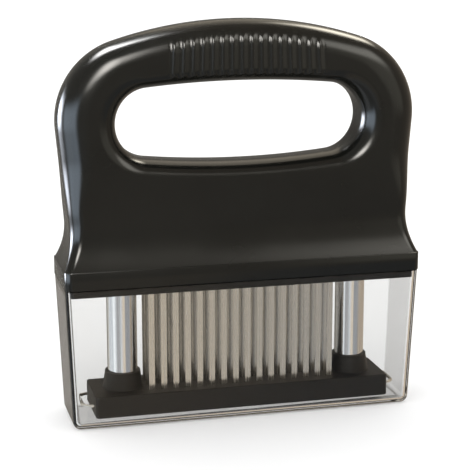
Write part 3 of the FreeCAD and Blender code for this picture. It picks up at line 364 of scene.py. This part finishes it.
def rounding(level):
    """The outer edge's rounding at a level: how far in it reaches, and how deep it is."""
    levels, *sizes = np.array(ROUNDING).T * MM
    place = np.interp(level, levels, np.arange(len(levels)))
    step = np.clip(np.floor(place), 0, len(levels) - 2).astype(int)
    share = smooth(place - step)
    return [size[step] * (1 - share) + size[step + 1] * share for size in sizes]


def rib_profile(across):
    """The ribs' cross-section: how high they stand at places across the grip, as a share."""
    across = across - RIB_MIDDLE
    number = np.clip(np.round(across / RIB_PITCH - 0.5), -RIB_COUNT / 2, RIB_COUNT / 2 - 1)
    off = np.abs(across - (number + 0.5) * RIB_PITCH)
    groove = smooth(1 - np.abs(off - RIB_PITCH / 2) / (RIB_EDGE / 2))
    return smooth((RIB_WIDTH / 2 + RIB_EDGE / 2 - off) / RIB_EDGE) - RIB_GROOVE * groove


def rib_length(level, crown_gap):
    """How far the ribs have risen from their rounded ends, as a share."""
    foot = smooth((level - RIB_FOOT) / RIB_END)
    return foot * smooth((crown_gap - RIB_HEAD) / RIB_HEAD_END)


def keep_columns(points, inset, amount):
    """Under the crown the inset points slide along it until they stand below their own columns."""
    lean = smooth((np.abs(points[:, 0]) - RIB_FIELD) / COLUMN_FADE)
    across = points[:, 0] * (1 - lean) + inset[:, 0] * lean
    level = CROWN_Z + np.sqrt((CROWN - amount) ** 2 - across**2)
    top = (points[:, 1] > SPINE_Z) & (lean < 1.0)
    return np.where(top[:, None], np.stack([across, level], axis=1), inset)


def turned_edge(points, normals, reach, deep, upright=False):
    """Rows of a rounded edge, from the middle plane round to the flank: places, outward directions."""
    places, ways = [], []
    for share in (0.0, 0.5):  # the edge's flat, from the middle plane
        flat = half_thickness(points[:, 1]) - deep
        places.append(np.stack([points[:, 0], -flat * share, points[:, 1]], axis=1))
        ways.append(np.stack([-normals[:, 0], 0 * flat, -normals[:, 1]], axis=1))
    for turn in np.linspace(0.0, math.pi / 2, TURN_ROWS):
        amount = reach * (1 - math.cos(turn))
        inset = points + normals * amount[:, None]
        if upright:
            inset = keep_columns(points, inset, amount)
        inset[:, 1] = np.maximum(inset[:, 1], FOOT_Z)
        depth = half_thickness(inset[:, 1]) - deep * (1 - math.sin(turn))
        places.append(np.stack([inset[:, 0], -depth, inset[:, 1]], axis=1))
        way = -normals * math.cos(turn)
        ways.append(np.stack([way[:, 0], 0 * depth - math.sin(turn), way[:, 1]], axis=1))
    return places, ways


def trunk_rows():
    """Rows of the front half's outer edge with the foot below, and how many columns the edge has."""
    points, normals = outline()
    rows, ways = turned_edge(points, normals, *rounding(points[:, 1]), upright=True)
    level = np.full(FOOT_COLUMNS, FOOT_Z)
    for place, (row, way) in enumerate(zip(rows, ways)):
        reach = abs(row[-1, 0])
        across = np.linspace(-reach, reach, FOOT_COLUMNS + 2)[1:-1]
        last = place == len(rows) - 1
        depth = half_thickness(level) if last else np.full(FOOT_COLUMNS, abs(row[-1, 1]))
        rows[place] = np.concatenate([row, np.stack([across, -depth, level], axis=1)])
        ways[place] = np.concatenate([way, np.repeat([FRONTWARDS], FOOT_COLUMNS, 0)])
    return rows, ways, len(points)


def rim_rows(outer):
    """Rows of the opening's rim in the front half, one column for each of the outer edge's."""
    rim_points, rim_normals = opening()
    keys = around(rim_points)
    order = np.argsort(keys)
    period = 4 * SPINE + 2 * math.pi * END_TURN
    column_keys = around(outer)
    hole, into = np.zeros_like(outer), np.zeros_like(outer)
    for axis in (0, 1):
        hole[:, axis] = np.interp(column_keys, keys[order], rim_points[order, axis], period=period)
        into[:, axis] = np.interp(column_keys, keys[order], rim_normals[order, axis], period=period)
    into /= np.hypot(into[:, 0], into[:, 1])[:, None]
    ends = np.abs(into[:, 0])
    reach = OPENING_REACH + (OPENING_END_REACH - OPENING_REACH) * ends
    deep = OPENING_DEEP + (OPENING_END_DEEP - OPENING_DEEP) * ends**2
    return turned_edge(hole, into, reach, deep)


def flank_rows(outer, inner):
    """Rows across the front flank, between the outer edge's rounding and the rim's."""
    rows, ways = [], []
    for share in np.linspace(0.0, 1.0, FACE_ROWS + 1)[1:-1]:
        place = outer * (1 - share) + inner * share
        rows.append(np.stack([place[:, 0], -half_thickness(place[:, 1]), place[:, 1]], axis=1))
        ways.append(np.repeat([FRONTWARDS], len(place), 0))
    return rows, ways


def raise_ribs(rows, ways):
    """Moves the points of the ribs outwards, each along its own direction."""
    profile = rib_profile(rows[0][:, 0]) * (rows[0][:, 2] > SPINE_Z)
    for row, way in zip(rows, ways):
        crown_gap = CROWN - np.hypot(row[:, 0], row[:, 2] - CROWN_Z)
        row += way * (RIB_RISE * profile * rib_length(row[:, 2], crown_gap))[:, None]


def band(start, after, columns, count=None):
    """Faces between two rows of points, by their first points' numbers; without a count, all round."""
    faces = []
    for column in range(columns if count is None else count):
        following = (column + 1) % columns
        faces.append((start + column, start + following, after + following, after + column))
    return faces


def make_handle():
    """The trunk and its ribbed grip as one mesh, whose rear half mirrors the front one."""
    edge, edge_ways, edge_columns = trunk_rows()
    outer = edge[-1][:, [0, 2]]
    rim, rim_ways = rim_rows(outer)
    flank, flank_ways = flank_rows(outer, rim[-1][:, [0, 2]])
    front = edge + flank + rim[::-1]
    raise_ribs(front, edge_ways + flank_ways + rim_ways[::-1])
    rows = front + [row * np.array([1.0, -1.0, 1.0]) for row in front[-2:0:-1]]
    total, columns = len(rows), len(rows[0])
    faces = []
    for row in range(total):
        at_edge = row < len(edge) - 1 or row > total - len(edge)
        count = edge_columns - 1 if at_edge else columns  # the foot is open between the flanks
        faces += band(row * columns, (row + 1) % total * columns, columns, count)
    return np.concatenate(rows), faces


def rounded_loop(half_x, half_y, radius, level):
    """Points round a level rectangle with rounded corners."""
    loop = []
    for corner, (sign_x, sign_y) in enumerate(((1, 1), (-1, 1), (-1, -1), (1, -1))):
        for step in range(CORNER_STEPS + 1):
            turn = math.pi / 2 * (corner + step / CORNER_STEPS)
            x = sign_x * (half_x - radius) + radius * math.cos(turn)
            y = sign_y * (half_y - radius) + radius * math.sin(turn)
            loop.append((x, y, level))
    return loop


def make_flange():
    """The band above the guard, a ring with softened edges, open for the posts."""
    soft, eased = FLANGE_SOFT, FLANGE_SOFT * 0.3  # insets at a rounded edge's end and middle
    loops = []
    for inset, level in (
        (soft, FLANGE_LOW),
        (eased, FLANGE_LOW + eased),
        (0.0, FLANGE_LOW + soft),
        (0.0, FLANGE_HIGH - soft),
        (eased, FLANGE_HIGH - eased),
        (soft, FLANGE_HIGH),
    ):
        sides = HALF_LENGTH - inset, HALF_DEPTH - inset
        loops.append(rounded_loop(*sides, FLANGE_CORNER - inset, level))
    inner = HALF_LENGTH - FLANGE_WALL, HALF_DEPTH - FLANGE_WALL
    for level in (FLANGE_HIGH, FLANGE_LOW):
        loops.append(rounded_loop(*inner, FLANGE_INNER_CORNER, level))
    count = len(loops[0])
    faces = []
    for place in range(len(loops)):
        faces += band(place * count, (place + 1) % len(loops) * count, count)
    return [point for loop in loops for point in loop], faces


# ---- springs --------------------------------------------------------------------------------

POST_X = 49.6 * MM
SPRING_LOW, SPRING_HIGH = 20.05 * MM, 96.0 * MM  # on the foot's plug, and under the socket's roof
SPRING_RADIUS, SPRING_WIRE, SPRING_TURNS = 4.5 * MM, 1.0 * MM, 9
SPRING_CLOSED = SPRING_WIRE * 1.05  # rise of the closed turn at each end
SPRING_STEPS, SPRING_SIDES = 24, 10  # rings in a turn, and points in a ring


def make_spring(middle):
    """A compression spring of round wire with closed ends, standing in its post."""
    wire, turns, sides = SPRING_WIRE / 2, SPRING_TURNS + 2, SPRING_SIDES
    low, high = SPRING_LOW + wire, SPRING_HIGH - wire
    places = np.linspace(0.0, turns, SPRING_STEPS * turns + 1)
    ends = (low, low + SPRING_CLOSED, high - SPRING_CLOSED, high)
    levels = np.interp(places, (0, 1, turns - 1, turns), ends)
    verts, faces = [], []
    for turn, level in zip(places * 2 * math.pi, levels):
        for side in range(sides):
            across = 2 * math.pi * side / sides
            reach = SPRING_RADIUS + wire * math.cos(across)
            x, y = middle + reach * math.cos(turn), reach * math.sin(turn)
            verts.append((x, y, level + wire * math.sin(across)))
    for start in range(0, len(verts) - sides, sides):
        faces += band(start, start + sides, sides)
    faces.append(tuple(range(sides)))
    faces.append(tuple(range(len(verts) - 1, len(verts) - sides - 1, -1)))
    return verts, faces


CREASE = math.radians(35.0)  # a sharper turn between two faces stays sharp


def build_mesh(name, shells, material):
    """One object from several shells, smooth but for its creases."""
    verts, faces = [], []
    for shell_verts, shell_faces in shells:
        offset = len(verts)
        verts.extend(tuple(point) for point in shell_verts)
        faces.extend(tuple(offset + index for index in face) for face in shell_faces)
    mesh = bpy.data.meshes.new(name)
    mesh.from_pydata(verts, [], faces)
    mesh.validate()
    thing = bpy.data.objects.new(name, mesh)
    bpy.context.scene.collection.objects.link(thing)
    mesh.materials.append(material)
    mesh.polygons.foreach_set("use_smooth", [True] * len(mesh.polygons))
    mesh.set_sharp_from_angle(angle=CREASE)
    return thing


# ---- studio ---------------------------------------------------------------------------------

FLOOR_HALF = 12.0  # far past what any view shows
OVERHEAD_POWER, OVERHEAD_SPREAD = 1.1, math.radians(90)
PLAIN_LIGHT = (0.97, 0.97, 0.97, 1)

# What the gloss reflects. All places are in degrees: azimuths from straight in front, positive to
# the tool's right, and elevations above the horizon.
ROOM_LEFT, ROOM_RIGHT, ROOM_BACK = (0.76, 0.73, 0.66), (0.62, 0.52, 0.41), (0.30, 0.28, 0.25)
ROOM_TURN = (-20, 40)  # azimuths over which the left colour becomes the right one
BACK_SIDES, BACK_TOP = (140, 160), (35, 20)  # where the back's colour fades in
TABLE_LEFT, TABLE_WARM, TABLE_RIGHT = (0.97, 1.03, 1.09), (1.02, 0.89, 0.72), (0.45, 0.47, 0.50)
WARM_TURN, RIGHT_TURN = (-20, 8), (10, 19)  # azimuths over which each follows the one before
TABLE_SHADE, TABLE_GLEAM = (0.58, 0.59, 0.61), (0.55, 0.57, 0.57)
SHADE_WINDOW, GLEAM_WINDOW = (-37, 9, 14), (-68, 5, 12)  # azimuth, half width, softness
TABLE_WINDOW, TABLE_TOP = (-35, 80, 20), (-9, -13)  # the table's whole width, and its far edge
SOFT_BOXES = (  # azimuth, elevation, half width, half height, softness across and upwards, radiance
    (-124, 72, 10, 5, 34, 17, (64.0, 64.0, 64.0)),
    (-13, 29, 2, 4, 17, 14, (41.0, 39.5, 37.0)),
    (44, 33, 10, 4, 20, 13, (7.4, 7.2, 6.6)),
    (42, 12, 14, 14, 12, 6, (1.1, 1.1, 0.95)),
    (-116, 1, 6, 3, 17, 15, (46.0, 49.0, 55.0)),
    (-60, -2, 20, 6, 14, 12, (6.0, 7.2, 8.6)),
    (126, 48, 6, 2, 18, 11, (22.0, 20.5, 17.2)),
    (165, 50, 30, 12, 20, 16, (1.2, 1.1, 0.9)),
)


def make_floor():
    """A matt pale floor, which the tool's gloss doesn't reflect: it reflects the surroundings."""
    size = FLOOR_HALF
    corners = [(-size, -size, 0), (size, -size, 0), (size, size, 0), (-size, size, 0)]
    mesh = bpy.data.meshes.new("floor")
    mesh.from_pydata(corners, [], [(0, 1, 2, 3)])
    floor = bpy.data.objects.new("floor", mesh)
    bpy.context.scene.collection.objects.link(floor)
    nodes = Nodes("floor")
    nodes.feed(Base_Color=nodes.blend(nodes.noise(scale=3.0), *FLOOR_TONES))
    nodes.set(Roughness=0.9, Specular_IOR_Level=0.0)
    path = nodes.add("ShaderNodeLightPath")
    unseen = nodes.add("ShaderNodeBsdfTransparent")
    nodes.output_mix(path.outputs["Glossy Depth"], nodes.shader, unseen)
    mesh.materials.append(nodes.material)


def mix_socket(sockets, identifier):
    """A socket of a Mix node, where several share a name."""
    return next(socket for socket in sockets if socket.identifier == identifier)


class Surroundings:
    """Shapes and colours laid on the world by azimuth and elevation."""

    def __init__(self, tree):
        self.tree = tree
        place = tree.nodes.new("ShaderNodeTexCoord")
        parts = tree.nodes.new("ShaderNodeSeparateXYZ")
        tree.links.new(place.outputs["Generated"], parts.inputs["Vector"])
        forward = self.math("MULTIPLY", parts.outputs["Y"], -1.0)
        across = self.math("ARCTAN2", parts.outputs["X"], forward)
        self.azimuth = self.math("DEGREES", across)
        self.elevation = self.math("DEGREES", self.math("ARCSINE", parts.outputs["Z"]))

    def math(self, operation, first, second=None):
        node = self.tree.nodes.new("ShaderNodeMath")
        node.operation = operation
        for socket, value in zip(node.inputs, (first, second)):
            if isinstance(value, float):
                socket.default_value = value
            elif value is not None:
                self.tree.links.new(value, socket)
        return node.outputs["Value"]

    def step(self, value, start, end):
        """A soft rise from 0 at start to 1 at end, whichever is the larger."""
        node = self.tree.nodes.new("ShaderNodeMapRange")
        node.interpolation_type = "SMOOTHSTEP"
        node.inputs["From Min"].default_value = start
        node.inputs["From Max"].default_value = end
        self.tree.links.new(value, node.inputs["Value"])
        return node.outputs["Result"]

    def window(self, value, middle, half, soft):
        """1 within a half width of the middle, falling to 0 over the soft width on each side."""
        rise = self.step(value, middle - half - soft, middle - half)
        return self.math("MULTIPLY", rise, self.step(value, middle + half + soft, middle + half))

    def box(self, azimuth, elevation, half_width, half_height, soft_across, soft_up):
        """A soft-edged rectangle of directions."""
        across = self.window(self.azimuth, azimuth, half_width, soft_across)
        up = self.window(self.elevation, elevation, half_height, soft_up)
        return self.math("MULTIPLY", across, up)

    def layer(self, under, share, colour, blend="ADD"):
        """Lays a colour over what is there, as strongly as a share says."""
        mix = self.tree.nodes.new("ShaderNodeMix")
        mix.data_type = "RGBA"
        mix.blend_type = blend
        self.tree.links.new(share, mix_socket(mix.inputs, "Factor_Float"))
        for identifier, value in (("A_Color", under), ("B_Color", colour)):
            socket = mix_socket(mix.inputs, identifier)
            if isinstance(value, tuple):
                socket.default_value = (*value, 1)
            else:
                self.tree.links.new(value, socket)
        return mix_socket(mix.outputs, "Result_Color")


def table_colour(room):
    """What the steel parts look down at, from the left to the right."""
    table = room.layer(TABLE_LEFT, room.step(room.azimuth, *WARM_TURN), TABLE_WARM, "MIX")
    table = room.layer(table, room.step(room.azimuth, *RIGHT_TURN), TABLE_RIGHT, "MIX")
    table = room.layer(table, room.window(room.azimuth, *SHADE_WINDOW), TABLE_SHADE, "MIX")
    return room.layer(table, room.window(room.azimuth, *GLEAM_WINDOW), TABLE_GLEAM)


def room_colour(room, boxes_seen):
    """What the gloss reflects: the room's sides and back, the table, and the soft boxes."""
    colour = room.layer(ROOM_LEFT, room.step(room.azimuth, *ROOM_TURN), ROOM_RIGHT, "MIX")
    behind = room.step(room.math("ABSOLUTE", room.azimuth), *BACK_SIDES)
    back = room.math("MULTIPLY", behind, room.step(room.elevation, *BACK_TOP))
    colour = room.layer(colour, back, ROOM_BACK, "MIX")
    below = room.step(room.elevation, *TABLE_TOP)
    near = room.math("MULTIPLY", room.window(room.azimuth, *TABLE_WINDOW), below)
    colour = room.layer(colour, near, table_colour(room), "MIX")
    for *place, radiance in SOFT_BOXES:
        colour = room.layer(colour, room.math("MULTIPLY", room.box(*place), boxes_seen), radiance)
    return colour


def make_studio():
    """Plain white light for all that is matt, and the surroundings for what gloss reflects."""
    world = bpy.data.worlds.new("studio")
    bpy.context.scene.world = world
    world.use_nodes = True
    world.cycles.sampling_method = "NONE"
    tree = world.node_tree
    plain = tree.nodes["Background"]
    plain.inputs["Color"].default_value = PLAIN_LIGHT
    path = tree.nodes.new("ShaderNodeLightPath")
    room = Surroundings(tree)
    # What lies behind the clear guard reflects the room and the table, but not the soft boxes.
    uncovered = room.math("LESS_THAN", path.outputs["Transmission Depth"], 0.5)
    glossy = tree.nodes.new("ShaderNodeBackground")
    tree.links.new(room_colour(room, uncovered), glossy.inputs["Color"])
    mix = tree.nodes.new("ShaderNodeMixShader")
    tree.links.new(path.outputs["Glossy Depth"], mix.inputs["Fac"])
    tree.links.new(plain.outputs["Background"], mix.inputs[1])
    tree.links.new(glossy.outputs["Background"], mix.inputs[2])
    tree.links.new(mix.outputs["Shader"], tree.nodes["World Output"].inputs["Surface"])


def make_lamp():
    """A broad light from straight above, which no gloss shows."""
    lamp = bpy.data.objects.new("overhead", bpy.data.lights.new("overhead", "SUN"))
    lamp.data.energy = OVERHEAD_POWER
    lamp.data.angle = OVERHEAD_SPREAD
    lamp.visible_glossy = False
    bpy.context.scene.collection.objects.link(lamp)


# ---- the tool -------------------------------------------------------------------------------


def paint(node, material):
    """Gives a CAD node its finish."""
    for slot in NODES[node].material_slots:
        slot.material = material


make_camera()
make_floor()
make_studio()
make_lamp()

gloss = gloss_plastic()
handle = build_mesh("handle_moulding", [make_handle(), make_flange()], gloss)
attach(handle, "handle")
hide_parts("handle_body")
paint("handle_body", gloss)

paint("base_plate", satin_plastic("base_plastic", *BASE_TONES, roughness=0.42))
paint("foot_plate", satin_plastic("foot_plastic", *FOOT_TONES, roughness=0.40))
paint("clear_cover", clear_plastic())

blade_steel = steel("blade_steel", *BLADE_TONES, 0.24, BLADE_GRAIN, scale=1500.0, height=0.0003 * MM)
frame_plastic = satin_plastic("frame_plastic", *FRAME_TONES, roughness=0.5)
for row in ("front", "middle", "rear"):
    paint(f"blades_{row}", blade_steel)
    paint(f"blade_cassette_{row}", frame_plastic)
paint("clamp_plate", frame_plastic)

post_steel = steel("post_steel", *POST_TONES, 0.10, POST_GRAIN, scale=1800.0, height=0.002 * MM)
wire = steel("wire_steel", *WIRE_TONES, roughness=0.16)
screw = steel("screw_steel", *SCREW_TONES, roughness=0.3)
bush = satin_plastic("bush_plastic", *BUSH_TONES, roughness=0.4)
for side, middle in (("left", -POST_X), ("right", POST_X)):
    paint(f"post_tube_{side}", post_steel)
    paint(f"post_plug_{side}", frame_plastic)
    paint(f"return_spring_{side}", wire)
    spring = build_mesh(f"spring_coil_{side}", [make_spring(middle)], wire)
    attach(spring, "handle")
    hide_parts(f"return_spring_{side}")
    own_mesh(spring)
    paint(f"retaining_clip_{side}", wire)
    paint(f"guide_bush_{side}", bush)
paint("base_plate_screws", screw)
paint("clamp_screws", screw)

bpy.context.scene.view_settings.view_transform = "Standard"
